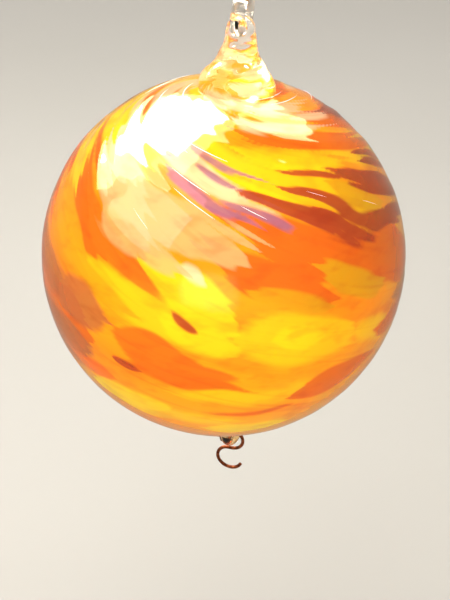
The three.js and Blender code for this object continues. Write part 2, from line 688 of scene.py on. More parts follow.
@dataclass(frozen=True)
class Flow:
    """How the swirl runs: its fall in latitude for each degree of longitude, at each latitude.

    For its turn, a slope less steep than least counts as that steep, so that the turn stays finite.
    """

    latitudes: tuple[float, ...] = (-90, -40, -20, 0, 10, 20, 35, 47, 62, 75, 90)
    slopes: tuple[float, ...] = (-0.05, 0.04, 0.0, -0.15, -0.35, -0.52, -0.58, -0.37, -0.2, -0.1, -0.04)
    least: float = 0.3
    samples: int = 721
    least_steps: int = 4

    def slope(self, latitude: np.ndarray) -> np.ndarray:
        """The slope at each latitude."""
        return np.interp(latitude, self.latitudes, self.slopes)

    def turn(self, latitude: np.ndarray) -> np.ndarray:
        """How far in longitude the swirl has turned at each latitude.

        Args:
            latitude: the latitudes, in degrees.

        Returns:
            Degrees of longitude, counted from the south pole.
        """
        steps = np.linspace(-90, 90, self.samples)
        rate = 1 / np.minimum(self.slope(steps), -self.least)
        turned = np.concatenate([[0], np.cumsum((rate[1:] + rate[:-1]) / 2 * np.diff(steps))])
        return np.interp(latitude, steps, turned)

    def line(self, latitude: float, reach: float) -> tuple[np.ndarray, np.ndarray]:
        """The swirl's own line through a latitude.

        Args:
            latitude: where the line is at its middle.
            reach: how many degrees of longitude it goes to each side.

        Returns:
            Longitudes from the middle, and the latitude at each.
        """
        count = max(int(reach), self.least_steps)
        step = reach / count
        sides = []
        for sign in (-1, 1):
            heights = [latitude]
            for _ in range(count):
                heights.append(heights[-1] + sign * step * float(self.slope(heights[-1])))
            sides.append(heights)
        return np.arange(-count, count + 1) * step, np.array(sides[0][:0:-1] + sides[1])


@dataclass(frozen=True)
class Drift:
    """How soft glass wanders from clean curves, and how the ends of its licks are torn.

    Its waves run from the shortest length to the longest, in degrees, and falloff is how much weaker
    the shorter ones are. reach is in degrees; tears are how many tears of each kind go round the
    ball, and tear_reach is their share of a lick's length.
    """

    waves: int = 16
    shortest: float = 13.0
    longest: float = 50.0
    reach: float = 1.05
    falloff: float = 0.6
    least_shrink: float = 0.3
    tears: tuple[int, ...] = (17, 31, 46, 63)
    tear_reach: float = 0.12
    seed: int = SEED + 2

    def shift(self, longitude: np.ndarray, latitude: np.ndarray) -> tuple[np.ndarray, np.ndarray]:
        """Moves places by slow waves of fixed seed.

        Args:
            longitude: the places' longitudes, in degrees.
            latitude: their latitudes.

        Returns:
            The moved longitudes and latitudes.
        """
        lon, lat = np.radians(longitude), np.radians(latitude)
        points = np.stack([np.cos(lat) * np.sin(lon), -np.cos(lat) * np.cos(lon), np.sin(lat)], -1)
        rng = np.random.default_rng(self.seed)
        sums = []
        for _ in range(2):
            total = np.zeros(len(points))
            for length in np.geomspace(self.shortest, self.longest, self.waves):
                way = rng.normal(size=3)
                way *= 2 * math.pi / math.radians(length) / np.linalg.norm(way)
                share = (length / self.longest) ** self.falloff
                total += share * np.sin(points @ way + rng.uniform(0, 2 * math.pi))
            sums.append(total * self.reach / math.sqrt(self.waves) * 2)
        shrink = np.maximum(np.cos(lat), self.least_shrink)
        return longitude + sums[0] / shrink, latitude + sums[1] * np.cos(lat)

    def torn(self, phase: np.ndarray) -> np.ndarray:
        """How much shorter or longer each streak of the swirl is.

        Args:
            phase: which streak each place lies on, as an angle round the ball in radians.

        Returns:
            A share of its lick's length.
        """
        rng = np.random.default_rng(self.seed + 1)
        waves = [np.sin(count * phase + rng.uniform(0, 2 * math.pi)) for count in self.tears]
        return self.tear_reach * sum(waves)


@dataclass(frozen=True)
class Lick:
    """A leaf-shaped lick of one tint, drawn out along the swirl: glass colour, or painted highlight,
    reflection or sheen.

    Its middle is at a longitude and latitude; length and width are in degrees of arc, lean is how
    much it leaves the swirl's own slope, and bluntness how full it stays towards its ends. Near a
    pole it is lengthened by no more than least_shrink allows; margin is how far past its ends, as a
    share, its middle line is followed.
    """

    tint: SwirlTint
    longitude: float
    latitude: float
    length: float
    width: float
    lean: float = 0.0
    bluntness: float = 3.0
    least_shrink: float = 0.2
    margin: float = 1.5

    def inside(
        self, longitude: np.ndarray, latitude: np.ndarray, torn: np.ndarray, flow: Flow
    ) -> np.ndarray:
        """How far inside the lick each place is.

        Args:
            longitude: the places' longitudes, in degrees.
            latitude: their latitudes.
            torn: how much shorter or longer the streak through each place is, as a share.
            flow: how the swirl runs.

        Returns:
            Degrees of arc, negative outside.
        """
        shrink = max(math.cos(math.radians(self.latitude)), self.least_shrink)
        half = self.length / 2 / shrink
        along = (longitude - self.longitude + 180) % 360 - 180
        steps, line = flow.line(self.latitude, half * self.margin)
        middle = np.interp(along, steps, line) + self.lean * along
        tilt = math.atan2(float(flow.slope(self.latitude)) + self.lean, shrink)
        across = np.abs(latitude - middle) * math.cos(tilt) / (self.width / 2)
        leaf = 1 - np.abs(along * (1 + torn) / half) ** self.bluntness - across
        return np.maximum(leaf * self.width / 2, FAR_OUTSIDE)


# A short name for the tables below.
T = SwirlTint
FRONT_LICKS = (
    # the upper left: near circles round the pole, the thin cream ones painted highlights on its ridges
    Lick(T.BUTTER, -84, 81, 18, 3.4), Lick(T.ORANGE, -84, 74, 24, 4.6), Lick(T.ORANGE, -84, 66, 26, 4.0),
    Lick(T.PAINTED_HIGHLIGHT, -86, 77.6, 24, 1.8), Lick(T.PAINTED_HIGHLIGHT, -84, 70, 26, 2.2), Lick(T.PAINTED_HIGHLIGHT, -82, 62.6, 24, 1.8),
    Lick(T.BUTTER, -88, 57, 44, 8.0), Lick(T.ORANGE, -74, 49, 24, 6.0), Lick(T.BUTTER, -88, 45, 34, 9.0),
    Lick(T.LEMON, -62, 58, 30, 10.0),
    # the left: an orange band that runs down to a red-orange one, over yellow
    Lick(T.ORANGE, -66, 35, 52, 13.0, 0.18), Lick(T.FLAME, -38, 27, 38, 8.0),
    Lick(T.ORANGE, -86, 18, 26, 11.0), Lick(T.OLIVE, -62, 25.5, 34, 10.5, 0.12),
    Lick(T.OLIVE, -42, 15, 34, 6.0), Lick(T.LEMON, -28, 12, 40, 10.0), Lick(T.BUTTER, -10, 17, 30, 14.0),
    Lick(T.BUTTER, -6, 6, 26, 8.0),
    # the smoky mauve side
    Lick(T.ORANGE, -64, -2, 50, 26.0, 0.1), Lick(T.MAUVE, -66, 11, 30, 11.0, 0.15),
    Lick(T.MAUVE, -47, 6, 28, 13.0, 0.1), Lick(T.MAUVE, -60, -7, 40, 12.0, 0.05),
    Lick(T.FLAME, -46, -15, 28, 7.0), Lick(T.MAUVE, -64, -18, 24, 7.0),
    Lick(T.FLAME, -18, -1.5, 30, 12.0, -0.12, 1.8), Lick(T.FLAME, -7, -5, 26, 5.5, -0.12, 2.0),
    Lick(T.ORANGE, -10, -8, 34, 5.0, -0.08, 2.0), Lick(T.RUST, -27, -6.5, 10, 2.6, -0.1),
    Lick(T.RUST, -12, 10, 8, 2.2, -0.1), Lick(T.BUTTER, -32, -22.5, 30, 9.5),
    Lick(T.LEMON, -16, -27, 40, 7.0),
    # the middle: bright yellow
    Lick(T.LEMON, 22, 3, 40, 16.0), Lick(T.BUTTER, 22, 4, 16, 7.0), Lick(T.LEMON, 8, -14, 44, 7.0),
    Lick(T.LEMON, 50, -2, 20, 8.0), Lick(T.ORANGE, 10, -22, 26, 2.4, 0.05),
    Lick(T.BUTTER, 9, -33, 26, 9.0), Lick(T.ORANGE, 37, -15, 34, 10.5, 0.2, 1.8),
    Lick(T.ORANGE, 68, -4, 38, 9.0, 0.1, 2.0),
    # the peach veil, a painted reflection of the bright sky, with painted highlight in cream, and the
    # lilac streaks through it, dark glass lightened with painted sheen
    Lick(T.PAINTED_HIGHLIGHT, -47, 45, 34, 14.0, 0.1), Lick(T.PAINTED_HIGHLIGHT, -22, 56, 40, 8.0),
    Lick(T.PAINTED_REFLECTION, -36, 36, 26, 14.0, 0.15), Lick(T.PAINTED_REFLECTION, -20, 39, 42, 14.0, 0.32),
    Lick(T.PAINTED_REFLECTION, -7, 33, 24, 10.0, 0.36), Lick(T.PAINTED_REFLECTION, -24, 30, 20, 8.0),
    Lick(T.PAINTED_HIGHLIGHT, -10, 23, 7, 4.5), Lick(T.LEMON, -8, 60, 40, 8.0), Lick(T.BUTTER, 2, 50, 34, 7.0),
    Lick(T.BUTTER, -20, 54, 22, 4.0), Lick(T.AUBERGINE_AND_SHEEN, -7, 57.5, 24, 2.6), Lick(T.AUBERGINE_AND_SHEEN, -33, 57, 10, 1.6),
    Lick(T.AUBERGINE_AND_SHEEN, -4, 52, 13, 2.0), Lick(T.AUBERGINE_AND_SHEEN, -10, 46.5, 24, 3.4, -0.05),
    Lick(T.AUBERGINE_AND_SHEEN, -2, 43, 14, 2.2), Lick(T.AUBERGINE_AND_SHEEN, 12, 39.5, 18, 3.0), Lick(T.PAINTED_HIGHLIGHT, 4, 45.5, 18, 2.6),
    Lick(T.PAINTED_HIGHLIGHT, -14, 51.5, 20, 2.4),
    # round the foot of the hanger, with the highlight there painted in cream
    Lick(T.PAINTED_HIGHLIGHT, -10, 80, 22, 7.0), Lick(T.PAINTED_HIGHLIGHT, 52, 83, 16, 6.0), Lick(T.PAINTED_HIGHLIGHT, 130, 82, 16, 6.0),
    Lick(T.PAINTED_HIGHLIGHT, -120, 83, 14, 5.0), Lick(T.BUTTER, 18, 76, 14, 4.0), Lick(T.BUTTER, 90, 86, 12, 4.0),
    # the right: painted highlight in cream near the top, then orange, then a bundle of red-brown
    # strands with yellow between them
    Lick(T.PAINTED_HIGHLIGHT, 54, 72, 20, 6.0), Lick(T.PAINTED_HIGHLIGHT, 46, 65, 26, 4.0), Lick(T.PAINTED_HIGHLIGHT, 78, 63, 16, 3.0),
    Lick(T.PAINTED_HIGHLIGHT, 24, 68, 18, 4.0), Lick(T.ORANGE, 50, 60, 40, 7.0), Lick(T.ORANGE, 66, 53, 44, 6.0),
    Lick(T.LEMON, 34, 54, 30, 8.0), Lick(T.BUTTER, 36, 50, 18, 3.0), Lick(T.LEMON, 84, 45, 46, 14.0),
    Lick(T.LEMON, 34, 44, 44, 10.0), Lick(T.OLIVE, 54, 37, 22, 6.0), Lick(T.RUST, 38, 47.5, 20, 2.6),
    Lick(T.RUST, 18, 42.5, 18, 3.4), Lick(T.RUST, 24, 38.5, 24, 3.0), Lick(T.RUST, 34, 41.5, 20, 2.6),
    Lick(T.RUST, 33, 35, 26, 3.2), Lick(T.RUST, 44, 36, 26, 3.6), Lick(T.RUST, 44, 31.5, 24, 3.4, 0.05),
    Lick(T.RUST, 60, 28, 28, 4.4, 0.1), Lick(T.RUST, 62, 40, 22, 4.2),
    Lick(T.RUST, 74, 36, 26, 5.0, 0.06), Lick(T.RUST, 78, 29.5, 28, 5.0, 0.1),
    Lick(T.RUST, 76, 23.5, 24, 3.6, 0.1), Lick(T.RUST, 70, 33, 26, 3.4, 0.05),
    Lick(T.RUST, 84, 42, 22, 3.6), Lick(T.RUST, 52, 44.5, 14, 2.0), Lick(T.RUST, 72, 38, 30, 3.0),
    Lick(T.RUST, 84, 38, 26, 3.6), Lick(T.RUST, 50, 33.5, 26, 2.6), Lick(T.RUST, 64, 35.5, 24, 2.4),
    Lick(T.ORANGE, 30, 27, 56, 13.0, 0.1), Lick(T.ORANGE, 14, 22, 40, 12.0, 0.1),
    Lick(T.ORANGE, 62, 17, 36, 16.0, 0.1), Lick(T.OLIVE, 42, 17, 26, 8.5, 0.05),
    Lick(T.OLIVE, 20, 15, 28, 6.5, 0.15), Lick(T.MAUVE, 80, 0, 40, 9.0, -0.05, 2.0),
)


@dataclass(frozen=True)
class BackSwirl:
    """The licks of the sides and back, drawn by a fixed seed in keeping with the front.

    Each of kinds is a tint, how many licks it has, and the ranges of their length, width and
    latitude in degrees.
    """

    longitudes: tuple[float, float] = (98.0, 262.0)
    leans: tuple[float, float] = (-0.24, 0.04)
    bluntness: float = 2.0
    kinds: tuple[tuple[SwirlTint, int, tuple, tuple, tuple], ...] = (
        (T.LEMON, 18, (36, 80), (6, 14), (-60, 75)),
        (T.ORANGE, 16, (30, 76), (6, 14), (-60, 75)),
        (T.FLAME, 7, (24, 50), (5, 10), (-35, 50)),
        (T.OLIVE, 5, (22, 44), (5, 9), (-20, 40)),
        (T.MAUVE, 4, (24, 40), (5, 9), (-30, 35)),
        (T.RUST, 14, (16, 38), (2.2, 5.0), (12, 58)),
        # painted highlight in cream, in keeping with the front
        (T.PAINTED_HIGHLIGHT, 4, (16, 34), (2.5, 6), (45, 78)),
        # painted reflection of the sky in peach, in keeping with the front
        (T.PAINTED_REFLECTION, 3, (18, 44), (4, 9), (20, 50)),
        # dark streak glass with painted sheen, in keeping with the front
        (T.AUBERGINE_AND_SHEEN, 4, (12, 24), (2, 4.4), (30, 60)),
    )
    seed: int = SEED

    def licks(self) -> list[Lick]:
        """Draws the licks.

        Returns:
            The licks, from broad ones to thin ones.
        """
        rng = np.random.default_rng(self.seed)
        found = []
        for tint, count, lengths, widths, latitudes in self.kinds:
            for _ in range(count):
                spans = (self.longitudes, latitudes, lengths, widths, self.leans)
                found.append(Lick(tint, *(float(rng.uniform(*span)) for span in spans), self.bluntness))
        return found


# ---------------------------------------------------------------- the ball


@dataclass
class GlassBall:
    """The hollow ball: an outer wall rippled by the swirl, and an inner wall.

    The ripple is strongest at its own latitude, falls off over ripple_spread to ripple_least, and
    dies out over calm_reach towards calm_latitude. The licks' edges fray and tear more from
    fray_start upwards, over fray_rise. The latitudes and the spans of latitude are in degrees.
    """

    wall: float = 3.0 * MM
    segments: int = 384
    rings: int = 190
    inner_segments: int = 120
    inner_rings: int = 60
    ripple: float = 0.14 * MM
    ripple_latitude: float = 52.0
    ripple_spread: float = 26.0
    ripple_least: float = 0.25
    ripple_starts: int = 9
    fine_share: float = 0.5
    fine_phase: float = 1.3
    calm_latitude: float = 88.0
    calm_reach: float = 20.0
    phase_scale: float = 4.0
    drop_scale: float = 0.6
    fray_start: float = 2.0
    fray_rise: float = 30.0
    least_fray: float = 0.12
    least_tear: float = 0.3
    flow: Flow = field(default_factory=Flow)
    drift: Drift = field(default_factory=Drift)
    finish: SwirledGlass = field(default_factory=SwirledGlass)

    def __post_init__(self) -> None:
        """Takes the ball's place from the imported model."""
        low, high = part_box("glass_ball")
        self.centre = (low + high) / 2
        self.radius = (high.z - low.z) / 2

    @staticmethod
    def _shell(radius: float, segments: int, rings: int) -> tuple[np.ndarray, list[list[int]]]:
        """A closed round shell about the origin, with a single point at each pole.

        Args:
            radius: its radius.
            segments: how many faces go round it.
            rings: how many rows of points lie between the poles.

        Returns:
            Its points and its outward faces.
        """
        polar = np.linspace(0, math.pi, rings + 2)[1:-1]
        around = np.linspace(0, 2 * math.pi, segments, endpoint=False)
        p, a = np.meshgrid(polar, around, indexing="ij")
        body = np.stack([np.sin(p) * np.cos(a), np.sin(p) * np.sin(a), np.cos(p)], -1).reshape(-1, 3)
        points = np.vstack([body, [[0, 0, 1], [0, 0, -1]]]) * radius
        return points, lathe_faces(rings, segments)

    def _places(self, points: np.ndarray) -> tuple[np.ndarray, np.ndarray, np.ndarray]:
        """Where points lie on the ball and in its swirl.

        Args:
            points: the points, about the ball's centre.

        Returns:
            Longitudes from the front and latitudes in degrees, and the swirl's phase in radians.
        """
        longitude = np.degrees(np.arctan2(points[:, 0], -points[:, 1]))
        latitude = np.degrees(np.arcsin(np.clip(points[:, 2] / np.linalg.norm(points, axis=1), -1, 1)))
        return longitude, latitude, np.radians(longitude - self.flow.turn(latitude))

    def rippled(self, points: np.ndarray) -> np.ndarray:
        """Lays points of the round ball on its outer wall, with the ripples that the swirl leaves.

        Args:
            points: the points, about the ball's centre.

        Returns:
            The moved points, none of them further out than before.
        """
        _, latitude, phase = self._places(points)
        off = (latitude - self.ripple_latitude) / self.ripple_spread
        strength = np.exp(-(off**2)) + self.ripple_least
        fade = np.clip((self.calm_latitude - np.abs(latitude)) / self.calm_reach, 0, 1)
        wave = np.sin(self.ripple_starts * phase)
        wave += self.fine_share * np.sin((2 * self.ripple_starts + 1) * phase + self.fine_phase)
        height = self.ripple * strength * fade * (wave - 1 - self.fine_share)
        return points * (1 + height / self.radius)[:, None]

    def _colour(self, mesh: bpy.types.Mesh, points: np.ndarray) -> None:
        """Writes the swirl's coordinates, the fray and each tint's field on the mesh.

        Args:
            mesh: the ball's mesh.
            points: its points, about the ball's centre.
        """
        longitude, latitude, phase = self._places(points)
        drop = np.radians(latitude) * self.drop_scale
        write_field(mesh, "swirl", np.stack([np.cos(phase), np.sin(phase), drop], -1) * self.phase_scale)
        rise = np.clip((latitude - self.fray_start) / self.fray_rise, 0, 1)
        fray = self.least_fray + (1 - self.least_fray) * rise
        write_field(mesh, "fray", fray)
        torn = self.drift.torn(phase) * np.maximum(fray, self.least_tear)
        longitude, latitude = self.drift.shift(longitude, latitude)
        licks = [*FRONT_LICKS, *BackSwirl().licks()]
        for tint in SwirlTint:
            deepest = np.full(len(points), FAR_OUTSIDE)
            for lick in licks:
                if lick.tint is tint:
                    deepest = np.maximum(deepest, lick.inside(longitude, latitude, torn, self.flow))
            write_field(mesh, tint.value.attribute, deepest)

    def build(self) -> bpy.types.Object:
        """Makes the ball.

        Returns:
            The finished piece.
        """
        outer, outer_faces = self._shell(self.radius, self.segments, self.rings)
        inner, inner_faces = self._shell(self.radius - self.wall, self.inner_segments, self.inner_rings)
        points = np.vstack([self.rippled(outer), inner])
        faces = outer_faces + [[i + len(outer) for i in reversed(f)] for f in inner_faces]
        mesh = mesh_of("glass_ball_shell", points + np.array(self.centre), faces)
        self._colour(mesh, points)
        return declare(object_of("swirled_ball", mesh, self.finish.make()), "swirled_glass", "glass_ball")


@dataclass(frozen=True)
class MilkHighlightThread:
    """A fine milky thread laid on the ball along the swirl, its white a painted highlight on a ridge.

    Its middle is at a longitude and latitude and its length is in degrees of arc; thickness is its
    radius at the middle, and it thins out to both ends. Near a pole it is lengthened by no more than
    least_shrink allows.
    """

    longitude: float
    latitude: float
    length: float
    thickness: float = 0.14 * MM
    least_shrink: float = 0.12

    def path(self, flow: Flow, radius: float) -> list[tuple[float, float, float]]:
        """The thread's middle line about the ball's centre.

        Args:
            flow: how the swirl runs.
            radius: how far from the centre it lies.

        Returns:
            Its points, in metres.
        """
        shrink = max(math.cos(math.radians(self.latitude)), self.least_shrink)
        along, line = flow.line(self.latitude, self.length / 2 / shrink)
        lon, lat = np.radians(along + self.longitude), np.radians(line)
        return [
            (radius * math.cos(b) * math.sin(a), -radius * math.cos(b) * math.cos(a), radius * math.sin(b))
            for a, b in zip(lon, lat)
        ]


@dataclass
class MilkHighlightThreads:
    """All the milky threads of the ball, swept along the swirl by one Geometry Nodes tree.

    The front's threads are placed; spare ones for the sides and back are drawn by a fixed seed from
    the ranges of their longitude, latitude and length in degrees and their radius in millimetres.
    Their white paints the highlights on the ball's ridges.
    """

    name: str = "milk_threads_and_highlight"
    sink: float = 0.08 * MM
    step: float = 0.6 * MM
    sides: int = 8
    least_end: float = 0.0064
    placed: tuple[MilkHighlightThread, ...] = (
        MilkHighlightThread(-12, 59.5, 26), MilkHighlightThread(-30, 60.5, 22), MilkHighlightThread(-16, 50, 26),
        MilkHighlightThread(-14, 44.5, 30), MilkHighlightThread(-30, 37, 22, 0.1 * MM), MilkHighlightThread(10, 41.5, 18, 0.12 * MM),
        MilkHighlightThread(36, 43.5, 20, 0.1 * MM), MilkHighlightThread(60, 34, 22, 0.1 * MM),
        MilkHighlightThread(-84, 78, 22, 0.24 * MM), MilkHighlightThread(-80, 70, 26, 0.28 * MM),
        MilkHighlightThread(-74, 62.5, 24, 0.22 * MM), MilkHighlightThread(60, 77, 22, 0.24 * MM),
        MilkHighlightThread(72, 72, 24, 0.2 * MM),
    )
    spare: int = 16
    spans: tuple[tuple[float, float], ...] = ((95, 265), (18, 78), (16, 40), (0.14, 0.3))
    seed: int = SEED + 1
    finish: MilkGlassAndHighlight = field(default_factory=MilkGlassAndHighlight)

    def _all(self) -> list[MilkHighlightThread]:
        """Draws the spare threads.

        Returns:
            The placed threads and the spare ones.
        """
        rng = np.random.default_rng(self.seed)
        found = list(self.placed)
        for _ in range(self.spare):
            *place, thickness = (float(rng.uniform(*span)) for span in self.spans)
            found.append(MilkHighlightThread(*place, thickness * MM))
        return found

    def build(self, ball: GlassBall) -> bpy.types.Object:
        """Makes the threads.

        Args:
            ball: the ball that they lie on.

        Returns:
            The finished piece.
        """
        curve = bpy.data.curves.new("thread_paths", "CURVE")
        curve.dimensions = "3D"
        for thread in self._all():
            on_wall = ball.rippled(np.array(thread.path(ball.flow, ball.radius)))
            path = on_wall * (1 - self.sink / ball.radius)
            spline = curve.splines.new("POLY")
            spline.points.add(len(path) - 1)
            for knot, point in zip(spline.points, path):
                knot.co = (*point, 1.0)
                knot.radius = thread.thickness / MM
        # The threads' white paints highlight lines on the ridges, over the real gloss of their raised
        # glass.
        material = self.finish.make()
        sizes = {"Step": self.step, "Radius": MM}
        mesh = rods("tapered_threads", curve, sizes, self.sides, material, self.least_end)
        mesh.transform(Matrix.Translation(ball.centre))
        return declare(object_of(self.name, mesh, material), "swirled_glass")


# ---------------------------------------------------------------- the clear fittings


@dataclass(frozen=True)
class Bubbles:
    """Seed bubbles sealed in clear glass, each a little uneven.

    Each place is x, y and the height along the fitting's axis from the ball's centre, and a radius,
    all in millimetres. Each bubble's three sizes are drawn between smallest and largest, as shares
    of that radius.
    """

    places: tuple[tuple[float, float, float, float], ...]
    detail: int = 3
    smallest: float = 0.748
    largest: float = 1.012

    def make(self, material: bpy.types.Material) -> bpy.types.Mesh:
        """Builds the bubbles as cavities, their faces turned into the hollow.

        Args:
            material: the glass round them.

        Returns:
            The mesh of all the bubbles, about the fitting's own axis.
        """
        points = np.array(self.places) * MM
        seeds = mesh_of("bubble_places", points[:, :3], [])
        write_field(seeds, "bubble_radius", points[:, 3])
        sizes = {"Smallest": self.smallest, "Largest": self.largest}
        tree, given = geometry_tree("seed_bubbles", sizes)
        ball = add_node(
            tree, "GeometryNodeMeshIcoSphere", inputs={"Radius": 1.0, "Subdivisions": self.detail}
        )
        hollow = add_node(tree, "GeometryNodeFlipFaces", inputs={"Mesh": ball})
        size = add_node(tree, "GeometryNodeInputNamedAttribute", inputs={"Name": "bubble_radius"})
        uneven = add_node(
            tree,
            "FunctionNodeRandomValue",
            {"data_type": "FLOAT_VECTOR"},
            {"Min": given.outputs["Smallest"], "Max": given.outputs["Largest"], "Seed": SEED},
        )
        scaled = add_node(
            tree, "ShaderNodeVectorMath", {"operation": "SCALE"}, {0: uneven, "Scale": size}
        )
        dots = add_node(tree, "GeometryNodeMeshToPoints", inputs={"Mesh": given.outputs["Geometry"]})
        placed = add_node(
            tree,
            "GeometryNodeInstanceOnPoints",
            inputs={"Points": dots, "Instance": hollow, "Scale": scaled},
        )
        end_tree(tree, placed, material)
        return run_tree(tree, sizes, seeds)


@dataclass
class ClearFitting:
    """A clear glass gather: a flared, twisted stem drawn up from the ball and closed into a loop.

    Heights are counted from the ball's surface, along the fitting's own leaning axis. The ridges
    fade by lobe_fade and fine_fade within foot_reach of the ball, where foot_waves take over: each
    is a depth, how many go round, and a phase.
    """

    node: str
    name: str
    foot_radius: float
    neck_radius: float
    flare_height: float
    flare_power: float
    stem_height: float
    twist: float
    loop_height: float
    loop_half_width: float
    loop_half_height: float
    loop_tube: float
    loop_turn: float
    bubbles: Bubbles
    finish: ClearGlass
    root_swell: float = 0.1
    crown_swell: float = 0.0
    lobes: int = 3
    lobe_depth: float = 0.035
    fine_lobes: int = 7
    fine_depth: float = 0.012
    fine_phase: float = 0.7
    sink: float = 0.5 * MM
    lobe_fade: float = 0.8
    fine_fade: float = 0.7
    foot_reach: float = 6 * MM
    foot_waves: tuple[tuple[float, int, float], ...] = ((0.03, 2, 0.6), (0.02, 5, 2.1))
    sides: int = 180
    steps: int = 150
    under_steps: int = 24
    cap_steps: int = 20
    loop_steps: int = 120
    loop_sides: int = 36
    grain: float = 0.34 * MM
    smoothing: int = 14
    smoothing_share: float = 0.5

    def _stem_radius(self, height: np.ndarray) -> np.ndarray:
        """The stem's radius at each height: a bell that flares into the foot."""
        spread = (np.maximum(height, 0) / self.flare_height) ** self.flare_power
        return self.neck_radius + (self.foot_radius - self.neck_radius) / (1 + spread)

    def _stem(self, ball_radius: float) -> bpy.types.Mesh:
        """The twisted stem about the Z axis, its foot let into the ball.

        Args:
            ball_radius: the radius of the ball about the origin.

        Returns:
            A closed mesh.
        """
        seat = ball_radius - self.sink
        rim = seat * math.cos(math.asin(self.foot_radius / seat))
        under = np.linspace(0, self.foot_radius, self.under_steps)[1:]
        cap = np.linspace(0, math.pi / 2, self.cap_steps)[1:-1]
        top_height = self.stem_height
        shoulder = float(self._stem_radius(np.array(top_height)))
        side_heights = np.linspace(rim - ball_radius, top_height, self.steps)[1:]
        radii = np.concatenate([under, self._stem_radius(side_heights), shoulder * np.cos(cap)])
        heights = np.concatenate([
            np.sqrt(seat**2 - under**2),
            ball_radius + side_heights,
            ball_radius + top_height + shoulder * np.sin(cap),
        ])
        around = np.linspace(0, 2 * math.pi, self.sides, endpoint=False)
        h, a = np.meshgrid(heights, around, indexing="ij")
        r = np.repeat(radii[:, None], self.sides, axis=1)
        turned = a - self.twist * (h - ball_radius) / MM
        near_foot = np.exp(-np.maximum(h - ball_radius, 0) / self.foot_reach)
        ridges = np.cos(self.lobes * turned)
        fine_ridges = np.cos(self.fine_lobes * turned + self.fine_phase)
        swell = 1 + self.lobe_depth * (1 - self.lobe_fade * near_foot) * ridges
        swell += self.fine_depth * (1 - self.fine_fade * near_foot) * fine_ridges
        for depth, count, phase in self.foot_waves:
            swell += near_foot * depth * np.cos(count * a + phase)
        body = np.stack([r * swell * np.cos(a), r * swell * np.sin(a), h], -1).reshape(-1, 3)
        points = np.vstack([body, [[0, 0, seat], [0, 0, ball_radius + top_height + shoulder]]])
        # The rings run upwards here, so each face is turned over.
        faces = [[f[0], *f[:0:-1]] for f in lathe_faces(len(heights), self.sides)]
        return mesh_of("stem", points, faces)

    def _loop(self, ball_radius: float) -> bpy.types.Mesh:
        """The loop, thicker where it was pressed back on the stem.

        Args:
            ball_radius: the radius of the ball about the origin.

        Returns:
            A closed mesh.
        """
        along = np.linspace(0, 2 * math.pi, self.loop_steps, endpoint=False)
        round_tube = np.linspace(0, 2 * math.pi, self.loop_sides, endpoint=False)
        u, v = np.meshgrid(along, round_tube, indexing="ij")
        low_side, high_side = (1 - np.sin(u)) / 2, (1 + np.sin(u)) / 2
        swell = self.root_swell * low_side**3 + self.crown_swell * high_side**2
        tube = self.loop_tube * (1 + swell)
        out = self.loop_tube * swell
        flat = np.stack([
            (self.loop_half_width + out) * np.cos(u), 0 * u, (self.loop_half_height + out) * np.sin(u)
        ], -1)
        outward = np.stack([np.cos(u) * np.cos(v), np.sin(v), np.sin(u) * np.cos(v)], -1)
        points = (flat + tube[..., None] * outward).reshape(-1, 3)
        turn = math.pi / 2 + self.loop_turn
        turned = np.array(Matrix.Rotation(turn, 3, "Z"))
        points = points @ turned.T + [0, 0, ball_radius + self.loop_height]
        n, m = len(along), len(round_tube)
        faces = [
            [i * m + j, ((i + 1) % n) * m + j, ((i + 1) % n) * m + (j + 1) % m, i * m + (j + 1) % m]
            for i in range(n) for j in range(m)
        ]
        mesh = mesh_of("loop", points, faces)
        shell = bmesh.new()
        shell.from_mesh(mesh)
        bmesh.ops.recalc_face_normals(shell, faces=shell.faces)
        shell.to_mesh(mesh)
        shell.free()
        return mesh

    def build(self, ball: GlassBall, axis: Vector) -> bpy.types.Object:
        """Makes the fitting.

        Args:
            ball: the ball that carries it.
            axis: the direction from the ball's centre in which it stands.

        Returns:
            The finished piece.
        """
        parts = [self._stem(ball.radius), self._loop(ball.radius)]
        raw = object_of(self.name + "_raw", joined(self.name + "_raw", parts))
        fuse = raw.modifiers.new("fuse", "REMESH")
        fuse.mode, fuse.voxel_size, fuse.use_smooth_shade = "VOXEL", self.grain, True
        melt = raw.modifiers.new("melt", "SMOOTH")
        melt.factor, melt.iterations = self.smoothing_share, self.smoothing
        body = baked(raw)
        material = self.finish.make()
        whole = joined(self.name, [body, self.bubbles.make(material)])
        lean = Vector((0, 0, 1)).rotation_difference(axis).to_matrix().to_4x4()
        whole.transform(Matrix.Translation(ball.centre) @ lean)
        return declare(object_of(self.name, whole, material), "clear_glass", self.node)


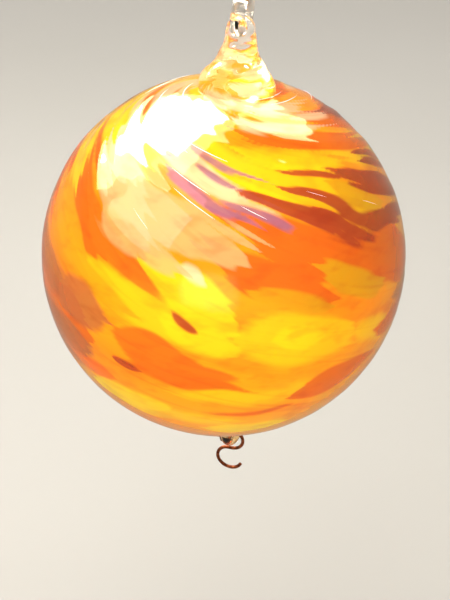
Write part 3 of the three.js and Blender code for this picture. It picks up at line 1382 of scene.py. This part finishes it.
HANGER = ClearFitting(
    node="top_hanger",
    name="twisted_hanger",
    foot_radius=14.4 * MM,
    neck_radius=4.4 * MM,
    flare_height=8.7 * MM,
    flare_power=2.4,
    stem_height=21 * MM,
    twist=math.radians(14),
    loop_height=27.5 * MM,
    loop_half_width=6.2 * MM,
    loop_half_height=6.2 * MM,
    loop_tube=2.7 * MM,
    loop_turn=math.radians(-16),
    bubbles=Bubbles((
        (0.4, -1.6, 95.5, 0.75), (-2.6, -2.2, 86.0, 0.5), (3.2, -1.0, 83.4, 0.55),
        (-1.2, 2.4, 89.5, 0.45), (1.6, 3.0, 80.5, 0.6), (-4.4, 0.6, 80.0, 0.4),
    )),
    finish=ClearGlass("clear drawn soda glass"),
)
EYE = ClearFitting(
    node="bottom_eye",
    name="drawn_eye",
    foot_radius=9.3 * MM,
    neck_radius=3.6 * MM,
    flare_height=4 * MM,
    flare_power=2.0,
    stem_height=7.6 * MM,
    twist=math.radians(18),
    loop_height=15.7 * MM,
    loop_half_width=5.9 * MM,
    loop_half_height=6.6 * MM,
    loop_tube=2.5 * MM,
    loop_turn=math.radians(25),
    crown_swell=0.26,
    bubbles=Bubbles(((0.8, -1.0, 80.5, 0.5), (-1.2, 0.8, 78.2, 0.4))),
    finish=ClearGlass("amber tinged drawn soda glass", clear="#F4CC90", wisp="#D08838", wisp_share=0.7),
)


# ---------------------------------------------------------------- the hook


@dataclass
class WireHook:
    """The S-hook, bent flat from round wire and hung in the eye. Its angles are in degrees."""

    wire_radius: float = 0.8 * MM
    upper_radius: float = 5.4 * MM
    upper_offset: float = 0.6 * MM
    upper_start: float = 205.0
    upper_end: float = -75.0
    lower_radius: float = 6.05 * MM
    lower_offset: float = -0.3 * MM
    lower_start: float = 115.0
    lower_end: float = 335.0
    turn: float = -20.0
    spacing: float = 20.0
    sides: int = 20
    step: float = 0.3 * MM
    finish: WeatheredCopper = field(default_factory=WeatheredCopper)

    def _arc(self, x: float, z: float, radius: float, start: float, end: float) -> list[Vector]:
        """Spaces points along one bend.

        Args:
            x: its middle, to the side.
            z: its middle, in height.
            radius: its radius.
            start: the angle of its first point, in degrees.
            end: the angle of its last point.

        Returns:
            The points, both ends included.
        """
        count = math.ceil(abs(end - start) / self.spacing)
        angles = [math.radians(start + (end - start) * i / count) for i in range(count + 1)]
        return [Vector((x + radius * math.cos(a), 0, z + radius * math.sin(a))) for a in angles]

    def _route(self) -> bpy.types.Curve:
        """Draws the wire's middle line, hung from the top of its upper bend.

        Returns:
            A smooth curve through both bends.
        """
        upper = self._arc(
            self.upper_offset, -self.upper_radius, self.upper_radius, self.upper_start, self.upper_end
        )
        lower_middle = -2 * self.upper_radius - self.lower_radius
        lower = self._arc(
            self.lower_offset, lower_middle, self.lower_radius, self.lower_start, self.lower_end
        )
        curve = bpy.data.curves.new("hook_route", "CURVE")
        curve.dimensions = "3D"
        spline = curve.splines.new("BEZIER")
        points = upper + lower
        spline.bezier_points.add(len(points) - 1)
        for knot, point in zip(spline.bezier_points, points):
            knot.co = point
            knot.handle_left_type = knot.handle_right_type = "AUTO"
        return curve

    def build(self) -> bpy.types.Object:
        """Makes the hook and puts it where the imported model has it.

        Returns:
            The finished piece.
        """
        material = self.finish.make()
        sizes = {"Radius": self.wire_radius, "Step": self.step}
        mesh = rods("bent_wire", self._route(), sizes, self.sides, material)
        mesh.transform(Matrix.Rotation(math.radians(self.turn), 4, "Z"))
        low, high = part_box("wire_hook")
        points = np.array([point.co[:] for point in mesh.vertices])
        middle = (Vector(points.min(0)) + Vector(points.max(0))) / 2
        mesh.transform(Matrix.Translation((low + high) / 2 - middle))
        return declare(object_of("copper_hook", mesh, material), "copper_wire", "wire_hook")


# ---------------------------------------------------------------- the studio


class LampTask(Enum):
    """What a softbox is hung for."""

    LIGHT = "lights the ball and stays out of its gloss"
    SHINE = "shows only as a reflection in the gloss"


@dataclass(frozen=True)
class Softbox:
    """A rectangular soft light.

    direction points from the ball to it; its distance and sizes are in metres and its power in
    watts; task says whether it lights the ball or shines in it.
    """

    name: str
    direction: tuple[float, float, float]
    distance: float
    width: float
    height: float
    power: float
    colour: str = "#FFFFFF"
    task: LampTask = LampTask.LIGHT

    def hang(self, centre: Vector) -> None:
        """Puts the light in the scene, facing the ball.

        Args:
            centre: the ball's centre.
        """
        data = bpy.data.lights.new(self.name, "AREA")
        data.shape, data.size, data.size_y = "RECTANGLE", self.width, self.height
        data.energy = self.power
        data.color = linear(self.colour)[:3]
        lamp = object_of(self.name, data)
        away = Vector(self.direction).normalized()
        lamp.location = centre + away * self.distance
        lamp.rotation_euler = away.to_track_quat("Z", "Y").to_euler()
        lamp.visible_camera = False
        if self.task is LampTask.SHINE:
            lamp.visible_diffuse = False
        else:
            lamp.visible_glossy = False


@dataclass
class Studio:
    """The pale floor, the soft lights and the camera.

    pitch and roll are in degrees, lens and sensor in millimetres, and everything else in metres.
    """

    floor_drop: float = 0.22
    floor_radius: float = 9.0
    floor_sides: int = 96
    world_colour: str = "#FAF0E0"
    world_strength: float = 0.42
    camera_offset: tuple[float, float, float] = (0.84 * MM, -374.0 * MM, 216.3 * MM)
    pitch: float = 32.5
    roll: float = 0.9
    lens: float = 61.98
    sensor: float = 36.0
    nearest: float = 0.01
    lights: tuple[Softbox, ...] = (
        Softbox("overhead", (0.0, 0.0, 1.0), 5.0, 14.0, 14.0, 460.0, "#FFFEFC"),
        Softbox("key_above", (-0.25, -0.15, 1.0), 2.4, 2.0, 2.0, 58.0, "#FFFDF8"),
        Softbox("fill_front", (-0.14, -0.97, 0.16), 3.2, 1.8, 1.1, 128.0, "#FFF8EC"),
        Softbox("window", (-0.40, 0.50, 0.766), 1.0, 0.66, 0.80, 55.0, "#FFFEFA", LampTask.SHINE),
        Softbox("halo", (-0.44, 0.42, 0.766), 1.1, 1.15, 1.2, 34.0, "#FFF0C4", LampTask.SHINE),
        Softbox("right_window", (0.34, 0.557, 0.757), 1.0, 0.5, 0.42, 5.5, "#FFF2D0", LampTask.SHINE),
        Softbox("veil", (-0.66, -0.34, 0.70), 1.0, 0.85, 0.6, 6.0, "#FFD8BC", LampTask.SHINE),
    )

    def build(self, ball: GlassBall) -> None:
        """Sets the stage round the ball.

        Args:
            ball: the ball that the lights and the camera face.
        """
        angles = np.linspace(0, 2 * math.pi, self.floor_sides, endpoint=False)
        height = np.full(self.floor_sides, CAD_BOUNDS[0].z - self.floor_drop)
        across, along = self.floor_radius * np.cos(angles), self.floor_radius * np.sin(angles)
        disc = mesh_of("floor", np.stack([across, along, height], -1), [range(self.floor_sides)])
        floor = object_of("floor", disc, PaleFloor().make())
        # Gloss doesn't see the floor, so the ball's rim keeps its own colour.
        floor.visible_glossy = False
        world = bpy.data.worlds.new("studio_sky")
        bpy.context.scene.world = world
        world.use_nodes = True
        background = world.node_tree.nodes["Background"]
        background.inputs["Color"].default_value = linear(self.world_colour)
        background.inputs["Strength"].default_value = self.world_strength
        for light in self.lights:
            light.hang(ball.centre)
        self._camera(ball.centre)

    def _camera(self, centre: Vector) -> None:
        """Puts the camera where it looks down on the ball.

        Args:
            centre: the ball's centre.
        """
        data = bpy.data.cameras.new("camera")
        data.lens, data.sensor_width, data.clip_start = self.lens, self.sensor, self.nearest
        camera = object_of("camera", data)
        tilt = Matrix.Rotation(math.radians(90 - self.pitch), 4, "X")
        roll = Matrix.Rotation(math.radians(self.roll), 4, "Z")
        camera.matrix_world = Matrix.Translation(centre + Vector(self.camera_offset)) @ tilt @ roll
        bpy.context.scene.camera = camera
        bpy.context.scene.view_settings.view_transform = "Standard"


# ---------------------------------------------------------------- the whole


def main() -> None:
    """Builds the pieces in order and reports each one."""
    logging.basicConfig(level=logging.INFO, format="%(name)s: %(message)s")
    ball = GlassBall()
    up = (-ball.centre).normalized()
    down = Vector((up.x, up.y, -up.z))
    for piece in (
        ball.build(),
        MilkHighlightThreads().build(ball),
        HANGER.build(ball, up),
        EYE.build(ball, down),
        WireHook().build(),
    ):
        log.info("%s: %d faces", piece.name, len(piece.data.polygons))
    Studio().build(ball)


if __name__ == "__main__":
    main()
